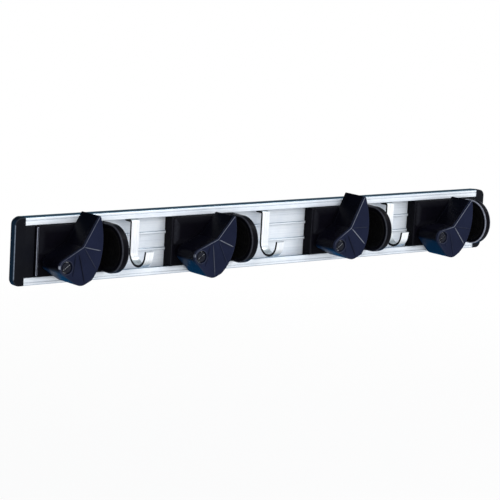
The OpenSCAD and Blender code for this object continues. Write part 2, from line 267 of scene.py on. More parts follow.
def add_loop(bm, ring, wear_and_light=0.0):
    """New points in a row, each with its share of edge rubbing and painted light."""
    layer = bm.verts.layers.float.get("wear_and_light") or bm.verts.layers.float.new("wear_and_light")
    shares = wear_and_light if isinstance(wear_and_light, list) else [wear_and_light] * len(ring)
    loop = [bm.verts.new(point) for point in ring]
    for vert, share in zip(loop, shares):
        vert[layer] = share
    return loop


def join(bm, a, b):
    """Faces between two loops with the same number of points."""
    count = len(a)
    for k in range(count):
        bm.faces.new((a[k], a[(k + 1) % count], b[(k + 1) % count], b[k]))


def loft(bm, rings, wear_and_light=None, ends=True):
    """Joins rings with the same number of points into a skin, closed at both ends if asked."""
    loops = [add_loop(bm, ring, wear_and_light[k] if wear_and_light else 0.0) for k, ring in enumerate(rings)]
    for a, b in zip(loops, loops[1:]):
        join(bm, a, b)
    if ends:
        bm.faces.new(list(reversed(loops[0])))
        bm.faces.new(loops[-1])
    return loops


def fill_between(bm, outer, inner):
    """Flat faces between an outline and a hole in it."""
    edges = []
    for loop in (outer, inner):
        for pair in zip(loop, loop[1:] + loop[:1]):
            edges.append(bm.edges.get(pair) or bm.edges.new(pair))
    bmesh.ops.triangle_fill(bm, use_beauty=True, use_dissolve=False, edges=edges)


def facing(point, d):
    """A point of an outline seen from the front, at a depth ahead of the lips."""
    return Vector((point.x, -d, point.y)) * MM


def sideways(point, x):
    """A point of an outline of depth and height, at a place along the rail."""
    return Vector((x, -point.x, point.y)) * MM


def slab(bm, outline, profile, place=facing, weight=None, ends=True):
    """A slab whose edges follow a profile. The outline is a function of the inset."""
    rings, wear_and_light = [], []
    for amount, depth, share in profile:
        ring = outline(amount)
        rings.append([place(p, depth) for p in ring])
        wear_and_light.append([share * (weight[k] if weight else 1) for k in range(len(ring))])
    return loft(bm, rings, wear_and_light, ends)


def lathe(bm, profile, place, steps):
    """Turns pairs of radius and height about an axis. A radius of 0 makes a pole."""
    loops = []
    for r, height in profile:
        count = steps if r else 1
        loops.append(add_loop(bm, [place(polar(r, 360 * k / steps), height) for k in range(count)]))
    for a, b in zip(loops, loops[1:]):
        for k in range(steps):
            corners = (a[k % len(a)], a[(k + 1) % len(a)], b[(k + 1) % len(b)], b[k % len(b)])
            bm.faces.new(list(dict.fromkeys(corners)))


def shade(mesh):
    mesh.shade_smooth()
    mesh.set_sharp_from_angle(angle=math.radians(CRISP))


def mesh_of(name, bm):
    bmesh.ops.recalc_face_normals(bm, faces=bm.faces)
    mesh = bpy.data.meshes.new(name)
    bm.to_mesh(mesh)
    bm.free()
    return mesh


def finish_piece(name, bm, material, body, matrix):
    """Makes an object of a skin, puts it in place and lets it ride on its body."""
    mesh = mesh_of(name, bm)
    mesh.transform(matrix)
    shade(mesh)
    mesh.materials.append(material)
    obj = bpy.data.objects.new(name, mesh)
    bpy.context.scene.collection.objects.link(obj)
    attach(obj, body)
    return obj


def cutter(profile, matrix):
    """A turned shape that is cut out of another piece."""
    bm = bmesh.new()
    lathe(bm, profile, facing, 48)
    obj = bpy.data.objects.new("cutter", mesh_of("cutter", bm))
    bpy.context.scene.collection.objects.link(obj)
    obj.matrix_world = matrix
    return obj


def cut_out(obj, *cutters):
    """Cuts other closed shapes out of a piece, which is left with a plain mesh."""
    for shape in cutters:
        modifier = obj.modifiers.new("cut", "BOOLEAN")
        modifier.object = shape
        modifier.solver = "EXACT"
    bpy.context.view_layer.update()
    result = obj.evaluated_get(bpy.context.evaluated_depsgraph_get())
    mesh = bpy.data.meshes.new_from_object(result)
    obj.modifiers.clear()
    obj.data = mesh
    shade(mesh)
    for shape in cutters:
        bpy.data.objects.remove(shape)


def at_rail(x):
    """The frame of a piece that stands at some place along the rail, with d counted from the lips."""
    return Matrix.Translation(Vector((x, -RAIL_D, 0)) * MM)


def holder_x(i):
    return JOINTS[f"jaw_{i}_lift"]["pos_m"][0] / MM


def at_jaw(i):
    """The frame of a jaw, turned by its lift about its pivot."""
    lift = -JOINTS[f"jaw_{i}_lift"]["range_deg"][0]
    turn = Matrix.Rotation(math.radians(lift), 4, Vector((0, -1, 0)))
    return Matrix.Translation(Vector((holder_x(i), -RAIL_D, PIVOT_Z)) * MM) @ turn


# Materials

class Nodes:
    """A material's node tree with its Principled shader, and short ways to add to it."""

    def __init__(self, name):
        self.material = bpy.data.materials.new(name)
        self.material.use_nodes = True
        self.tree = self.material.node_tree
        self.shader = self.tree.nodes["Principled BSDF"]
        self.coords = self.add("ShaderNodeTexCoord")

    def add(self, kind, **values):
        node = self.tree.nodes.new(kind)
        for key, value in values.items():
            setattr(node, key, value)
        return node

    def link(self, a, b):
        self.tree.links.new(a, b)

    def stretched(self, scale):
        """Object coordinates, scaled by axis."""
        mapping = self.add("ShaderNodeMapping")
        mapping.inputs["Scale"].default_value = scale
        self.link(self.coords.outputs["Object"], mapping.inputs["Vector"])
        return mapping.outputs["Vector"]

    def noise(self, scale, detail=3.0, rough=0.55, vector=None):
        node = self.add("ShaderNodeTexNoise")
        node.inputs["Scale"].default_value = scale
        node.inputs["Detail"].default_value = detail
        node.inputs["Roughness"].default_value = rough
        self.link(vector or self.coords.outputs["Object"], node.inputs["Vector"])
        return node.outputs["Fac"]

    def ramp(self, value, stops):
        """A colour ramp with stops of position and colour."""
        node = self.add("ShaderNodeValToRGB")
        elements = node.color_ramp.elements
        while len(elements) < len(stops):
            elements.new(0.5)
        for element, (position, colour) in zip(elements, stops):
            element.position = position
            element.color = (*colour, 1)
        self.link(value, node.inputs["Fac"])
        return node.outputs["Color"]

    def spread_value(self, value, low, high, start=0.3, end=0.7):
        """Maps a number from one range to another, by default from that of a noise."""
        node = self.add("ShaderNodeMapRange")
        node.inputs["From Min"].default_value = start
        node.inputs["From Max"].default_value = end
        node.inputs["To Min"].default_value = low
        node.inputs["To Max"].default_value = high
        self.link(value, node.inputs["Value"])
        return node.outputs["Result"]

    def mixed(self, factor, a, b, mode="MIX"):
        node = self.add("ShaderNodeMix", data_type="RGBA", blend_type=mode)
        if isinstance(factor, float):
            node.inputs["Factor"].default_value = factor
        else:
            self.link(factor, node.inputs["Factor"])
        inputs = [s for s in node.inputs if s.type == "RGBA"]
        for socket, value in zip(inputs, (a, b)):
            if isinstance(value, tuple):
                socket.default_value = (*value, 1)
            else:
                self.link(value, socket)
        return next(s for s in node.outputs if s.type == "RGBA")

    def lit_and_worn_edges(self):
        """The edge rubbing and painted highlights that the mesh carries, broken up by a fine noise."""
        wear_and_light = self.add("ShaderNodeAttribute", attribute_name="wear_and_light")
        broken = self.add("ShaderNodeMath", operation="MULTIPLY")
        self.link(wear_and_light.outputs["Fac"], broken.inputs[0])
        self.link(self.spread_value(self.noise(420, 3), 0.55, 1), broken.inputs[1])
        return broken.outputs[0]

    def crease_shade_mask(self):
        """Painted shade in the mesh's creases, where its mark is below nought."""
        wear_and_light = self.add("ShaderNodeAttribute", attribute_name="wear_and_light")
        darkening = self.add("ShaderNodeMath", operation="MULTIPLY", use_clamp=True)
        self.link(wear_and_light.outputs["Fac"], darkening.inputs[0])
        darkening.inputs[1].default_value = -1
        return darkening.outputs[0]

    def turned(self, axis, start, end, low=0.0, high=1.0):
        """A number that goes from low to high as the piece's own faces turn to an axis.

        With a start above nought, the faces turned to the axis's other end count as well.
        """
        parts = self.add("ShaderNodeSeparateXYZ")
        self.link(self.coords.outputs["Normal"], parts.inputs[0])
        value = parts.outputs[axis]
        if start > 0:
            size = self.add("ShaderNodeMath", operation="ABSOLUTE")
            self.link(value, size.inputs[0])
            value = size.outputs[0]
        return self.spread_value(value, low, high, start, end)

    def bump(self, height, distance, strength=1.0, below=None):
        node = self.add("ShaderNodeBump")
        node.inputs["Strength"].default_value = strength
        node.inputs["Distance"].default_value = distance
        self.link(height, node.inputs["Height"])
        if below:
            self.link(below, node.inputs["Normal"])
        return node.outputs["Normal"]

    def colour(self, socket):
        self.link(socket, self.shader.inputs["Base Color"])

    def rough(self, socket):
        self.link(socket, self.shader.inputs["Roughness"])

    def normal(self, socket):
        self.link(socket, self.shader.inputs["Normal"])

    def constant(self, name, value):
        self.shader.inputs[name].default_value = value


# Painted shade in the fan's creases
CREASE_SHADE = (0.0008, 0.0008, 0.0014)
# Painted black shade on faces turned to the x axis, the hooks' edges most of all
SIDE_SHADE = (0.005, 0.006, 0.008)
SATIN_METAL = 0.18


def moulded_plastic(name, dark, light, worn_and_lit, specular, rough, sides=None):
    """Fine-grained moulded plastic with uneven gloss, edges lightened by rubbing and painted highlight,
    painted shade in creases, and a painted reflection on faces turned to one axis.
    """
    n = Nodes(name)
    cloud = n.noise(38, 4)
    body = n.ramp(cloud, [(0.3, dark), (0.7, light)])
    if sides:
        axis, start, end, reflected_tint = sides
        body = n.mixed(n.turned(axis, start, end), body, reflected_tint)
    n.colour(n.mixed(n.crease_shade_mask(), n.mixed(n.lit_and_worn_edges(), body, worn_and_lit), CREASE_SHADE))
    n.rough(n.spread_value(n.noise(160, 4), *rough))
    grain = n.noise(2600, 2, 0.6)
    ripple = n.noise(60, 2)
    n.normal(n.bump(grain, 0.00004, 0.5, n.bump(ripple, 0.0004, 0.25)))
    n.constant("Specular IOR Level", specular)
    return n.material


def rubber(name):
    """Matt rubber with a pitted, dusty surface."""
    n = Nodes(name)
    dust = n.noise(220, 5, 0.65)
    n.colour(n.ramp(dust, [(0.35, (0.0011, 0.001, 0.0012)), (0.75, (0.0042, 0.004, 0.0042))]))
    n.rough(n.spread_value(n.noise(420, 3), 0.62, 0.85))
    n.normal(n.bump(n.noise(1900, 3), 0.00008, 0.6))
    n.constant("Specular IOR Level", 0.04)
    return n.material


def brushed_aluminium(name, stretch, dark, light, level_shade_tint, level_metal, specular, rough):
    """Satin aluminium with drawn lines along one axis, level faces painted darker as shade and dark
    reflection, and painted black shade on faces turned to the x axis.
    """
    n = Nodes(name)
    lines = n.noise(1.0, 4, 0.6, n.stretched(stretch))
    tone = n.ramp(lines, [(0.3, dark), (0.7, light)])
    pale = n.ramp(n.noise(55, 5, 0.6), [(0.3, (0.88, 0.9, 0.93)), (0.7, (1, 1, 1))])
    level = n.turned("Z", 0.3, 0.75)
    shaded_tone = n.mixed(level, n.mixed(1.0, tone, pale, "MULTIPLY"), level_shade_tint, "MULTIPLY")
    n.colour(n.mixed(n.turned("X", 0.3, 0.6), shaded_tone, SIDE_SHADE))
    n.rough(n.spread_value(lines, *rough))
    n.normal(n.bump(lines, 0.00003, 0.35))
    n.constant("Specular IOR Level", specular)
    n.link(n.turned("Z", 0.6, 0.95, SATIN_METAL, level_metal), n.shader.inputs["Metallic"])
    return n.material


def steel(name):
    """Blackened steel, with painted glints of pale metal on the flat faces below the bolts' faces."""
    n = Nodes(name)
    stain = n.ramp(n.noise(900, 4), [(0.4, (0.007, 0.008, 0.014)), (0.8, (0.02, 0.023, 0.034))])
    place = n.add("ShaderNodeSeparateXYZ")
    n.link(n.coords.outputs["Object"], place.inputs[0])
    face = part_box("pivot_bolt_1")[0].y
    slot_start, slot_end = face + 0.4 * MM, face + 0.7 * MM
    slot = n.spread_value(place.outputs["Y"], 0, 1, slot_start, slot_end)
    # Pale metal painted as glints on flat faces behind the head's face: the slot's floor and the washer
    glint = n.ramp(n.noise(700, 2), [(0.45, (0.02, 0.02, 0.025)), (0.6, (0.5, 0.52, 0.56))])
    n.colour(n.mixed(slot, stain, n.mixed(n.turned("Y", 0.8, 0.95), stain, glint)))
    n.rough(n.spread_value(n.noise(1500, 3), 0.3, 0.45))
    n.normal(n.bump(n.noise(2400, 2), 0.00002, 0.4))
    n.constant("Metallic", 0.5)
    n.constant("Specular IOR Level", 0.15)
    return n.material


# The edge colour given to each plastic below is also its painted highlight and sheen
BLACK = moulded_plastic("black_plastic", dark=(0.0013, 0.0012, 0.0024), light=(0.0025, 0.0023, 0.0046),
                        worn_and_lit=(0.46, 0.49, 0.60), specular=0.03, rough=(0.34, 0.46))
# The caps' ends carry a painted teal reflection on faces turned along the rail
CAP = moulded_plastic("cap_plastic", dark=(0.0030, 0.0034, 0.0056), light=(0.0050, 0.0056, 0.0086),
                      worn_and_lit=(0.22, 0.26, 0.33), specular=0.05, rough=(0.3, 0.42),
                      sides=("X", 0.5, 0.9, (0.0065, 0.0175, 0.0345)))
# The jaws' downward faces carry a painted blue reflection
JAW = moulded_plastic("jaw_plastic", dark=(0.0011, 0.0011, 0.0026), light=(0.0020, 0.0020, 0.0048),
                      worn_and_lit=(0.02, 0.022, 0.03), specular=0.03, rough=(0.26, 0.38),
                      sides=("Z", -0.35, -0.8, (0.0015, 0.014, 0.042)))
COVER = moulded_plastic("cover_plastic", dark=(0.0068, 0.0094, 0.0245), light=(0.0098, 0.0132, 0.0340),
                        worn_and_lit=(0.36, 0.39, 0.46), specular=0.04, rough=(0.38, 0.5))
RUBBER = rubber("grip_rubber")
# Level faces painted darker: a dark teal reflection on the rail, shade on the hooks
RAIL = brushed_aluminium("rail_aluminium", stretch=(3, 900, 900), dark=(0.75, 0.80, 0.865),
                         light=(0.88, 0.92, 0.965), level_shade_tint=(0.19, 0.28, 0.34), level_metal=1,
                         specular=0.5, rough=(0.26, 0.4))
STRIP = brushed_aluminium("hook_aluminium", stretch=(900, 14, 14), dark=(0.84, 0.86, 0.89),
                          light=(0.95, 0.965, 0.98), level_shade_tint=(0.4, 0.44, 0.45), level_metal=0.3,
                          specular=0.15, rough=(0.2, 0.32))
STEEL = steel("steel")


# The rail and its caps

def rail_corners():
    """The rail's section, with its depth ahead of the lips and its height, anticlockwise."""
    rib_low, rib_high = RIB_Z - RIB_W / 2, RIB_Z + RIB_W / 2
    rib_top = FLOOR_D + RIB_D
    bead_back = -LIP_T - BEAD_D
    line_high = HALF_H - LIP_H / 3
    line_low = line_high - LINE_W
    edge, nose, soft, tiny = 0.6, 1.3, 0.4, 0.12
    upper = [
        ((FLOOR_D, rib_low), soft), ((rib_top, rib_low), soft), ((rib_top, rib_high), soft),
        ((FLOOR_D, rib_high), soft), ((FLOOR_D, INNER_H), edge), ((-LIP_T, INNER_H), edge),
        ((-LIP_T, SLOT_H + BEAD_H), soft), ((bead_back, SLOT_H + BEAD_H), soft),
        ((bead_back, SLOT_H), soft), ((0, SLOT_H), edge),
        ((0, line_low), tiny), ((-LINE_D, line_low), tiny), ((-LINE_D, line_high), tiny),
        ((0, line_high), tiny), ((0, HALF_H), nose), ((-RAIL_D, HALF_H), edge)]
    lower = [((d, -z), r) for (d, z), r in reversed(upper)]
    return lower + upper


def make_rail():
    bm = bmesh.new()
    corners = rail_corners()
    ease = 0.25
    profile = [(ease, -HALF_L, 0), (0, ease - HALF_L, 0), (0, HALF_L - ease, 0), (ease, HALF_L, 0)]
    slab(bm, lambda amount: rounded(corners, amount, 4), profile, sideways)
    obj = finish_piece("rail_extrusion", bm, RAIL, "rack", at_rail(0))
    r = HOLE_D / 2
    hole = [(0, -RAIL_D - 1), (r, -RAIL_D - 1), (r, FLOOR_D - SINK_D), (r + SINK_D, FLOOR_D),
            (r + SINK_D, FLOOR_D + 1), (0, FLOOR_D + 1)]
    cut_out(obj, cutter(hole, at_rail(-HOLE_X)), cutter(hole, at_rail(HOLE_X)))
    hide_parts("rail")


def cap_ring(end, high, d):
    """The cap's outline at some depth, for a length and half a height."""
    sharp, spare, steps = 0.05, 0.5, 10
    r = min(CAP_R, end - spare)
    corners = [((0, -high), sharp), ((end, -high), r), ((end, high), r), ((0, high), sharp)]
    return [facing(p, d) for p in rounded(corners, 0, steps)]


def make_cap(name, side):
    """An end cap: a rounded plug whose back edge is bevelled towards the wall."""
    bm = bmesh.new()
    roll, ease = 1.0, 0.8
    bend = CAP_BEVEL - RAIL_D
    rings = [cap_ring(CAP_L - CAP_BEVEL, HALF_H, -RAIL_D), cap_ring(CAP_L - ease, HALF_H, bend - ease),
             cap_ring(CAP_L, HALF_H, bend + ease)]
    shares = [0, 0, 0]
    for amount, d, wear_and_light in rounded_profile(-RAIL_D, CAP_PROUD, 0, roll, 6):
        if d > -roll:
            rings.append(cap_ring(CAP_L - amount, HALF_H - amount, d))
            shares.append(wear_and_light)
    # A painted highlight along the middle of the cap's outer front edge, light rubbing elsewhere
    high, middle = CAP_HIGHLIGHT_REACH * MM, CAP_L * MM / 2
    edge = [1 if abs(p.z) < high and p.x > middle else CAP_END_WEAR for p in rings[-1]]
    loft(bm, rings, [[share * weight for weight in edge] for share in shares])
    tip = CAP_PROUD - 0.1
    foot_r, neck_r, tip_r, tail_r = 0.4, 0.2, 0.6, 0.3
    tongue = [((FOOT_BACK, -FOOT_H), foot_r), ((FOOT_FRONT, -FOOT_H), foot_r),
              ((FOOT_FRONT, -NECK_H), neck_r), ((tip, -NECK_H), tip_r), ((tip, NECK_H), tip_r),
              ((FOOT_FRONT, NECK_H), neck_r), ((FOOT_FRONT, FOOT_H), foot_r),
              ((FOOT_BACK, FOOT_H), foot_r)]
    slab(bm, lambda amount: rounded(tongue, amount, 3),
         [(tail_r, -TONGUE_L, 0), (0, tail_r - TONGUE_L, 0), (0, 1, 0)], sideways)
    if side < 0:
        bmesh.ops.scale(bm, vec=(-1, 1, 1), verts=bm.verts)
    obj = finish_piece(name + "_plug", bm, CAP, "rack", at_rail(side * HALF_L))
    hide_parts(name)


# The holders

def carriage_corners():
    """The carriage's section, with its depth and height, grooved at the back over the rail's ribs."""
    groove = RIB_W / 2 + 2 * SLIDE_GAP
    clear = FLOOR_D + RIB_D + SLIDE_GAP
    foot_r, neck_r, panel_r, groove_r = 0.6, 0.3, 1.2, 0.2
    made = [((FOOT_BACK, -FOOT_H), foot_r), ((FOOT_FRONT, -FOOT_H), foot_r),
            ((FOOT_FRONT, -NECK_H), neck_r), ((LOW_PANEL_D, -NECK_H), panel_r),
            ((LOW_PANEL_D, NECK_H), panel_r), ((FOOT_FRONT, NECK_H), neck_r),
            ((FOOT_FRONT, FOOT_H), foot_r), ((FOOT_BACK, FOOT_H), foot_r)]
    for z in (RIB_Z, -RIB_Z):
        made += [((FOOT_BACK, z + groove), groove_r), ((clear, z + groove), groove_r),
                 ((clear, z - groove), groove_r), ((FOOT_BACK, z - groove), groove_r)]
    return made


def cheek_outline():
    """The cheek's outline, with its depth and height: a block with a half-round front."""
    front = arc(Vector((CHEEK_C, 0)), CHEEK_R, -90, 90, 40)
    return [Vector((FOOT_FRONT, -CHEEK_R))] + front + [Vector((FOOT_FRONT, CHEEK_R))]


def make_block(i):
    """The part of the carriage that slides in the rail, with its low front."""
    bm = bmesh.new()
    section = carriage_corners()
    steps, roll = 4, 0.8
    slab(bm, lambda amount: rounded(section, amount, steps),
         rounded_profile(-CAR_LEFT, CHEEK_X + 1, roll, 0), sideways,
         [BLOCK_WEAR] * ((steps + 1) * len(section)))
    obj = finish_piece(f"carriage_block_{i}", bm, BLACK, f"holder_{i}",
                       at_rail(holder_x(i)))
    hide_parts(f"carriage_{i}")


def raised_panel(bm, i, back, top):
    """The raised upper part of the carriage's front, with a wide soft edge."""
    left, right = 0.4 - CAR_LEFT + EDGE_RIB_W, CHEEK_X + 1
    low_r, high_r, right_r = 3.4, 4.2, 1.5
    roll, run, steps = 1.15, 8, 8
    corners = [((left, STEP_Z), low_r), ((right, STEP_Z), right_r), ((right, top), right_r),
               ((left, top), high_r)]
    # A painted sheen along the panel's left edge
    soft = PANEL_SHEEN[i - 1]
    wear_and_light = [soft if p.x < left + 1.5 else FLAT_WEAR for p in rounded(corners, 0, steps)]
    slab(bm, lambda amount: rounded(corners, amount, steps),
         rounded_profile(back, PANEL_D, 0, roll, steps, run), facing, wear_and_light)


def edge_rib(bm, i, back, top):
    """The upright rib at the carriage's left edge."""
    left, low, high, r, roll, steps = 0.3 - CAR_LEFT, 1.2 - NECK_H, top - 1, 0.7, 0.6, 4
    right = left + EDGE_RIB_W
    corners = [((left, low), r), ((right, low), r), ((right, high), r), ((left, high), r)]
    # A painted highlight line down the first holder's rib, light rubbing on the others
    slab(bm, lambda amount: rounded(corners, amount, steps),
         rounded_profile(back, LOW_PANEL_D + EDGE_RIB_D, 0, roll, steps, rest=0.2), facing,
         [RIB_WEAR_AND_HIGHLIGHT[i - 1]] * ((steps + 1) * len(corners)))


def make_panel(i):
    bm = bmesh.new()
    back, top = LOW_PANEL_D - 2, NECK_H - 0.3
    raised_panel(bm, i, back, top)
    edge_rib(bm, i, back, top)
    finish_piece(f"carriage_panel_{i}", bm, BLACK, f"holder_{i}", at_rail(holder_x(i)))


def make_cheek(i):
    """The round cheek at the carriage's right end, with rolled edges."""
    bm = bmesh.new()
    side = cheek_outline()
    inner_r, outer_r, steps = 1.5, 2.4, 6
    # A painted highlight along the cheek's rolled rim
    slab(bm, lambda amount: inset(side, amount),
         rounded_profile(CHEEK_X, CAR_RIGHT, inner_r, outer_r, steps), sideways,
         [CHEEK_HIGHLIGHT[i - 1]] * len(side))
    finish_piece(f"carriage_cheek_{i}", bm, BLACK, f"holder_{i}", at_rail(holder_x(i)))


def make_disc(i):
    """The rubber grip disc, with a rounded rim and rings pressed into its face."""
    bm = bmesh.new()
    face, back = GRIP_X, CHEEK_X + SEAT_D
    pitch, groove, slope, dip, roll = 3.2, 0.9, 0.2, 0.45, 0.8
    profile = [(0, face)]
    start = pitch
    while start + groove < GRIP_R - 2 * roll:
        profile += [(start, face), (start + slope, face + dip), (start + groove - slope, face + dip),
                    (start + groove, face)]
        start += pitch
    for a in spread(0, 90, 4):
        lean = math.radians(a)
        profile.append((GRIP_R - roll * (1 - math.sin(lean)), face + roll * (1 - math.cos(lean))))
    profile += [(GRIP_R, back), (0, back)]
    centre = Vector((GRIP_C, 0))
    lathe(bm, profile, lambda p, x: sideways(centre + p, x), 72)
    obj = finish_piece(f"grip_pad_{i}", bm, RUBBER, f"holder_{i}", at_rail(holder_x(i)))
    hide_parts(f"grip_disc_{i}")


def cam_radius(i, degrees):
    t = math.radians(degrees)
    bend = TIP_BENDS[i - 1] if t > 0 else CAM_BEND
    return CAM_R * math.exp(CAM_GROWTH * t + bend * t * t)


def rim(i, degrees, inside=0.0):
    return polar(cam_radius(i, degrees) - inside, degrees)


def degrees_of(v):
    return math.degrees(math.atan2(v.y, v.x))


def rim_angles():
    """Directions along the spiral rim, with a pair of them close together at each end of the tread."""
    pinch, clear = 0.25, 4.0
    return (spread(RIM_START, TREAD_START - pinch, 2) + spread(TREAD_START, TREAD_END, 40)
            + spread(TREAD_END + pinch, TIP_ANGLE - clear, 3) + [TIP_ANGLE])


def fan_outline(i, sunk=0.0):
    """The fan from its heel, up the spiral rim to the tip, back to the notch and round the hub."""
    heel, notch = HEELS[i - 1], NOTCHES[i - 1]
    run = rim(i, RIM_START) - heel
    notch_tangent = degrees_of(notch) + math.degrees(math.acos(HUB_R / notch.length))
    flank = degrees_of(heel) - math.degrees(math.acos((HUB_R - HEEL_R) / heel.length)) + 360
    rim_tangent = degrees_of(run) - math.degrees(math.acos(HEEL_R / run.length)) + 360
    points = [rim(i, a, sunk if TREAD_START <= a <= TREAD_END else 0) for a in rim_angles()]
    hub = arc(Vector((0, 0)), HUB_R, notch_tangent, flank, 16)
    tip = corner_arc(points[-2], points[-1], notch, FAN_TIP_R, 6)
    bend = corner_arc(points[-1], notch, hub[0], FAN_NOTCH_R, 6)
    return points[:-1] + tip + bend + hub + arc(heel, HEEL_R, flank, rim_tangent, 14)


def make_jaw_body(i):
    """The cam: a core that carries the tread between a back and a front flange."""
    bm = bmesh.new()
    full, sunk = fan_outline(i), fan_outline(i, TREAD_T)
    back_r, flange_r = 0.5, 0.3
    back = rounded_profile(JAW_BACK, TREAD_BACK, back_r, flange_r)
    front = rounded_profile(TREAD_FRONT, COVER_BACK, flange_r, flange_r)
    rings = [[facing(p, d) for p in inset(full, amount)] for amount, d, wear_and_light in back[:-1]]
    rings += [[facing(p, d) for p in sunk] for d in (TREAD_BACK, TREAD_FRONT)]
    rings += [[facing(p, d) for p in inset(full, amount)] for amount, d, wear_and_light in front[1:]]
    shares = [wear_and_light for amount, d, wear_and_light in back[:-1]] + [0, 0] + [wear_and_light for amount, d, wear_and_light in front[1:]]
    loft(bm, rings, shares)
    obj = finish_piece(f"jaw_cam_{i}", bm, JAW, f"jaw_{i}", at_jaw(i))
    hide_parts(f"jaw_body_{i}")


def ridge(bm, start, end, base_d, wear_and_light):
    """A pleat of the fan: a low ridge with a round back that runs out at both ends."""
    run = end - start
    along = run.normalized()
    across = Vector((-along.y, along.x))
    sunk, rise_rate, least, taper = 0.3, 6, 0.25, 0.4
    rings, shares = [], []
    for share in spread(0, 1, 12):
        fade = min(1, rise_rate * share + least, rise_rate * (1 - share) + least)
        centre = start + run * share
        ring = []
        for a in spread(0, 180, 8):
            lean = math.radians(a)
            side = math.cos(lean) * RIDGE_W / 2 * (1 - taper + taper * fade)
            rise = math.sin(lean) * (RIDGE_H * fade + sunk) - sunk
            ring.append(facing(centre + across * side, base_d + rise))
        rings.append(ring)
        # Along the crest, a share above nought paints a highlight and one below nought paints shade
        shares.append([wear_and_light * fade * math.sin(math.radians(a)) ** 2 for a in spread(0, 180, 8)])
    loft(bm, rings, shares)


def fan_wear_and_highlight(i, p):
    """The share of edge rubbing and painted highlight at a point of a fan's edge."""
    upper, lower, spot = FAN_WEAR_AND_HIGHLIGHT[i - 1]
    if p.x > RIM_X or p.y < -HUB_R:
        return RIM_WEAR
    # A painted highlight spot on the hub's left
    if p.x < 0 and abs(degrees_of(-p) + SPOT_ANGLE) < SPOT_SPREAD:
        return spot
    if p.y < 0:
        return HUB_WEAR
    past_notch = 2
    return upper if p.x > NOTCHES[i - 1].x - past_notch else lower


def bolt_ring(bm, back, front, crest):
    """The raised ring on the cover and the hole in it, as loops from the outside in."""
    inner, outer = HEAD_HOLE_R, HEAD_HOLE_R + RING_W
    ease, steps = 0.3, 64
    # The ring's crest is lightened by rubbing and painted highlight
    profile = [(outer, front, 0), (outer, crest - ease, 0), (outer - ease, crest, RING_WEAR_AND_HIGHLIGHT),
               (inner + ease, crest, RING_WEAR_AND_HIGHLIGHT), (inner, crest - ease, 0), (inner, back, 0)]
    loops = []
    for r, d, wear_and_light in profile:
        loops.append(add_loop(bm, [facing(polar(r, 360 * k / steps), d) for k in range(steps)], wear_and_light))
    for a, b in zip(loops, loops[1:]):
        join(bm, a, b)
    return loops


def pleats(i):
    """Starts and ends of a fan's pleats, from its rim down to its hub."""
    notch = NOTCHES[i - 1]
    made = [(notch, rim(i, a, PLEAT_INSIDE)) for a in PLEAT_ANGLES]
    made.append((notch - LOW_PLEAT_START, HEELS[i - 1] + polar(HEEL_R - RIDGE_W, LOW_PLEAT_ANGLE)))
    made.append((notch - HUB_PLEAT_START, polar(HUB_PLEAT_R, HUB_PLEAT_ANGLE)))
    return made


def make_cover(i):
    """The fan cover with its pleats, a hole for the bolt's head and a raised ring round it."""
    bm = bmesh.new()
    back, front, crest = COVER_BACK, COVER_BACK + COVER_T, COVER_BACK + COVER_T + RIDGE_H
    outline = fan_outline(i)
    rim_count = len(rim_angles()) - 1
    edge = [RIM_WEAR] * rim_count + [fan_wear_and_highlight(i, p) for p in outline[rim_count:]]
    back_r, front_r, steps = 0.25, 0.55, 5
    loops = slab(bm, lambda amount: inset(outline, amount),
                 rounded_profile(back, front, back_r, front_r, steps), facing, edge, False)
    # Shares above one, the hub's painted highlight spot, carry on over the edge's flat rings
    layer = bm.verts.layers.float["wear_and_light"]
    for loop in loops:
        for vert, weight in zip(loop, edge):
            vert[layer] = max(vert[layer], weight - 1)
    ring = bolt_ring(bm, back, front, crest)
    fill_between(bm, loops[-1], ring[0])
    fill_between(bm, loops[0], ring[-1])
    for (start, end), wear_and_light in zip(pleats(i), PLEAT_HIGHLIGHT_AND_SHADE[i - 1]):
        ridge(bm, start + (end - start).normalized(), end, front, wear_and_light)
    obj = finish_piece(f"fan_cover_{i}", bm, COVER, f"jaw_{i}", at_jaw(i))
    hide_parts(f"jaw_cover_{i}")


def make_tread(i):
    """The ribbed rubber band on the cam's rim."""
    bm = bmesh.new()
    points, blunt = 8, 0.7
    steps = TEETH * points
    outer = []
    for k, a in enumerate(spread(TREAD_START, TREAD_END, steps)):
        wave = 0.5 - 0.5 * math.cos(2 * math.pi * k / points)
        outer.append(rim(i, a, -TOOTH_H * wave ** blunt))
    inner = [rim(i, a, TREAD_T) for a in spread(TREAD_END, TREAD_START, steps)]
    gap, ease = 0.05, 0.25
    profile = [(ease, TREAD_BACK + gap), (0, TREAD_BACK + gap + ease), (0, TREAD_FRONT - gap - ease),
               (ease, TREAD_FRONT - gap)]
    rings = []
    for amount, d in profile:
        shrunk = [p * (1 - amount / p.length) for p in outer] + inner
        rings.append([facing(p, d) for p in shrunk])
    loft(bm, rings)
    obj = finish_piece(f"tread_band_{i}", bm, RUBBER, f"jaw_{i}", at_jaw(i))
    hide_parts(f"jaw_tread_{i}")


def dress_fasteners(i):
    """The bolt, washer and nut keep their CAD shapes, with eased edges and a steel finish."""
    for part in ("pivot_bolt", "pivot_washer", "pivot_nut"):
        obj = frame["nodes"][f"{part}_{i}"]
        weld = obj.modifiers.new("weld", "WELD")
        weld.merge_threshold = 1e-6
        flat = obj.modifiers.new("flat", "DECIMATE")
        flat.decimate_type = "DISSOLVE"
        flat.angle_limit = math.radians(1)
        bevel = obj.modifiers.new("bevel", "BEVEL")
        bevel.width = FASTENER_EASE * MM
        bevel.segments = 2
        bevel.limit_method = "ANGLE"
        bevel.angle_limit = math.radians(40)
        bevel.harden_normals = True
        obj.data.materials.clear()
        obj.data.materials.append(STEEL)


# The hooks

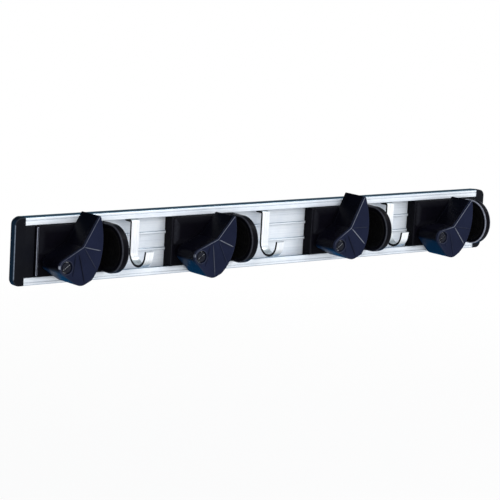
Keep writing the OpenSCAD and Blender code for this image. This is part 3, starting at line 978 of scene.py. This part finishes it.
def hook_path():
    """The strip's middle line, with its depth and height, from its tab behind the lip to its tip."""
    half = HOOK_T / 2
    lip_back = -LIP_T - SLIDE_GAP
    top = INNER_H - SLIDE_GAP
    neck = SLOT_H - SLIDE_GAP
    corners = [(lip_back - half, SLOT_H + BEAD_H + SLIDE_GAP), (lip_back - half, top - half),
               (FOOT_BACK + half, top - half), (FOOT_BACK + half, neck - half),
               (SLIDE_GAP + half, neck - half)]
    path = [Vector(corners[0])]
    bend = 1.5
    for last, here, after in zip(corners, corners[1:], corners[2:] + [(SLIDE_GAP + half, HOOK_Z)]):
        path += eased_corner(Vector(last), Vector(here), Vector(after), bend)
    centre = Vector((SLIDE_GAP + HOOK_R, HOOK_Z))
    path += arc(centre, HOOK_R - half, 180, 360 - TIP_LEAN, 36)
    path += [path[-1] + polar(TIP_L * s, 90 - TIP_LEAN) for s in (0.33, 0.66, 1)]
    return path


def eased_corner(last, here, after, r):
    """Points of a soft bend in place of a sharp corner."""
    a = here + (last - here).normalized() * r
    b = here + (after - here).normalized() * r
    made = []
    for t in spread(0, 1, 6):
        made.append(a * (1 - t) ** 2 + here * (2 * t * (1 - t)) + b * t ** 2)
    return made


def make_hook(i):
    """A strip bent to a J, with eased edges."""
    path = hook_path()
    lo, hi = (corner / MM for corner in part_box(f"hook_{i}"))
    middle, half_w, half_t = (lo.x + hi.x) / 2, HOOK_W / 2, HOOK_T / 2
    ease = 0.2
    section = rounded([((-half_w, -half_t), ease), ((half_w, -half_t), ease), ((half_w, half_t), ease),
                       ((-half_w, half_t), ease)], 0, 4)
    bm = bmesh.new()
    rings = []
    for k, here in enumerate(path):
        ahead = path[min(k + 1, len(path) - 1)] - path[max(k - 1, 0)]
        across = Vector((-ahead.y, ahead.x)).normalized()
        rings.append([sideways(here + across * p.y, p.x) for p in section])
    loft(bm, rings)
    obj = finish_piece(f"strip_hook_{i}", bm, STRIP, f"strip_hook_{i}",
                       at_rail(middle))
    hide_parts(f"hook_{i}")


# The stage

def make_camera():
    """The camera that was fitted to the rail's ends, lips and depth."""
    position = Vector((-1.4182, -1.7090, 0.3591))
    yaw, pitch, roll = (math.radians(a) for a in (39.39, 9.69, 3.32))
    ahead = Vector((math.sin(yaw) * math.cos(pitch), math.cos(yaw) * math.cos(pitch), -math.sin(pitch)))
    right = Vector((math.cos(yaw), -math.sin(yaw), 0))
    up = right.cross(ahead)
    leaned = right * math.cos(roll) + up * math.sin(roll)
    raised = up * math.cos(roll) - right * math.sin(roll)
    matrix = Matrix((leaned, raised, -ahead)).transposed().to_4x4()
    matrix.translation = position
    data = bpy.data.cameras.new("camera")
    data.sensor_width = SENSOR_MM
    data.lens = SENSOR_MM * FOCAL_PX / IMAGE_PX
    data.clip_end = 60
    camera = bpy.data.objects.new("camera", data)
    camera.matrix_world = matrix
    bpy.context.scene.collection.objects.link(camera)
    bpy.context.scene.camera = camera


def seen_share(tree):
    """One for rays from the camera, straight or by way of metal or glass, and nought for others."""
    path = tree.nodes.new("ShaderNodeLightPath")
    total = path.outputs["Is Camera Ray"]
    for ray in ("Is Glossy Ray", "Is Transmission Ray"):
        add = tree.nodes.new("ShaderNodeMath")
        add.operation = "ADD"
        add.use_clamp = True
        tree.links.new(total, add.inputs[0])
        tree.links.new(path.outputs[ray], add.inputs[1])
        total = add.outputs[0]
    return total


def make_world():
    """Soft even light, and white for the camera and for reflections."""
    world = bpy.data.worlds.new("studio")
    bpy.context.scene.world = world
    world.use_nodes = True
    tree = world.node_tree
    tree.nodes.clear()

    def add(kind):
        return tree.nodes.new(kind)

    ambient, white = add("ShaderNodeBackground"), add("ShaderNodeBackground")
    mix, out = add("ShaderNodeMixShader"), add("ShaderNodeOutputWorld")
    ambient.inputs["Color"].default_value = (0.94, 0.97, 1, 1)
    ambient.inputs["Strength"].default_value = 0.5
    white.inputs["Color"].default_value = (1, 1, 1, 1)
    white.inputs["Strength"].default_value = 1
    for a, b in ((seen_share(tree), mix.inputs["Fac"]), (ambient.outputs[0], mix.inputs[1]),
                 (white.outputs[0], mix.inputs[2]), (mix.outputs[0], out.inputs["Surface"])):
        tree.links.new(a, b)


def make_light(name, place, target, size, power):
    data = bpy.data.lights.new(name, "AREA")
    data.shape = "RECTANGLE"
    data.size, data.size_y = size
    data.energy = power
    light = bpy.data.objects.new(name, data)
    light.location = place
    light.rotation_mode = "QUATERNION"
    light.rotation_quaternion = (Vector(target) - Vector(place)).to_track_quat("-Z", "Y")
    bpy.context.scene.collection.objects.link(light)


def stage_plane(name, corners, material):
    bm = bmesh.new()
    bm.faces.new([bm.verts.new(c) for c in corners])
    mesh = bpy.data.meshes.new(name)
    bm.to_mesh(mesh)
    bm.free()
    mesh.materials.append(material)
    obj = bpy.data.objects.new(name, mesh)
    bpy.context.scene.collection.objects.link(obj)
    return obj


def floor_paint():
    """Pale paint that the camera sees close to white, with the shadows still on it near the rack."""
    n = Nodes("floor_paint")
    n.colour(n.ramp(n.noise(6, 3), [(0.3, (0.93, 0.93, 0.93)), (0.7, (0.96, 0.96, 0.96))]))
    n.constant("Roughness", 0.9)
    n.constant("Specular IOR Level", 0.1)
    away = n.add("ShaderNodeVectorMath", operation="LENGTH")
    n.link(n.coords.outputs["Object"], away.inputs[0])
    whiter = n.spread_value(away.outputs["Value"], 0.86, 1, 0.7, 2.4)
    share = n.add("ShaderNodeMath", operation="MULTIPLY")
    n.link(whiter, share.inputs[0])
    n.link(seen_share(n.tree), share.inputs[1])
    glow = n.add("ShaderNodeEmission")
    mix = n.add("ShaderNodeMixShader")
    n.link(share.outputs[0], mix.inputs["Fac"])
    n.link(n.shader.outputs["BSDF"], mix.inputs[1])
    n.link(glow.outputs["Emission"], mix.inputs[2])
    n.link(mix.outputs["Shader"], n.tree.nodes["Material Output"].inputs["Surface"])
    return n.material


def card_paint(name, dark, light):
    """Matt paint without gloss."""
    n = Nodes(name)
    n.colour(n.ramp(n.noise(4, 2), [(0.3, dark), (0.7, light)]))
    n.constant("Roughness", 1)
    n.constant("Specular IOR Level", 0)
    return n.material


def make_card(name, corners, material):
    """A card that shows only in reflections."""
    card = stage_plane(name, corners, material)
    card.visible_camera = False
    card.visible_diffuse = False
    card.visible_shadow = False


def make_stage():
    """The floor, a card behind the rack, a card below and behind it, and three lamps in front."""
    height, reach, wide = -0.5, 6.0, 2.4
    stage_plane("floor", [(-reach, -reach, height), (reach, -reach, height), (reach, reach, height),
                          (-reach, reach, height)], floor_paint())
    teal = card_paint("card_teal", (0.02, 0.06, 0.09), (0.04, 0.09, 0.13))
    blue = card_paint("card_blue", (0.015, 0.24, 0.62), (0.03, 0.36, 0.86))
    low, near, far, top = height + 0.01, 0.1, 1.0, 2.2
    left, right = (-wide, far, low), (wide, far, low)
    make_card("card_back", [left, right, (wide, far, top), (-wide, far, top)], teal)
    make_card("card_low", [(-wide, near, low), (wide, near, low), right, left], blue)
    make_light("key", (-1.6, -2.85, 1.35), (0, 0, 0), (1.95, 2.85), 46)
    make_light("fill", (0.6, -1.9, 0.8), (0.25, 0, 0), (1.0, 1.0), 9)
    make_light("top", (1.0, -0.75, 1.5), (0, 0, 0), (0.6, 0.6), 16)


make_camera()
make_world()
make_stage()
make_rail()
make_cap("end_cap_left", -1)
make_cap("end_cap_right", 1)
for holder in HOLDERS:
    make_block(holder)
    make_panel(holder)
    make_cheek(holder)
    make_disc(holder)
    make_jaw_body(holder)
    make_cover(holder)
    make_tread(holder)
    dress_fasteners(holder)
for hook in HOOKS:
    make_hook(hook)

bpy.context.scene.view_settings.view_transform = "Standard"
bpy.context.view_layer.update()
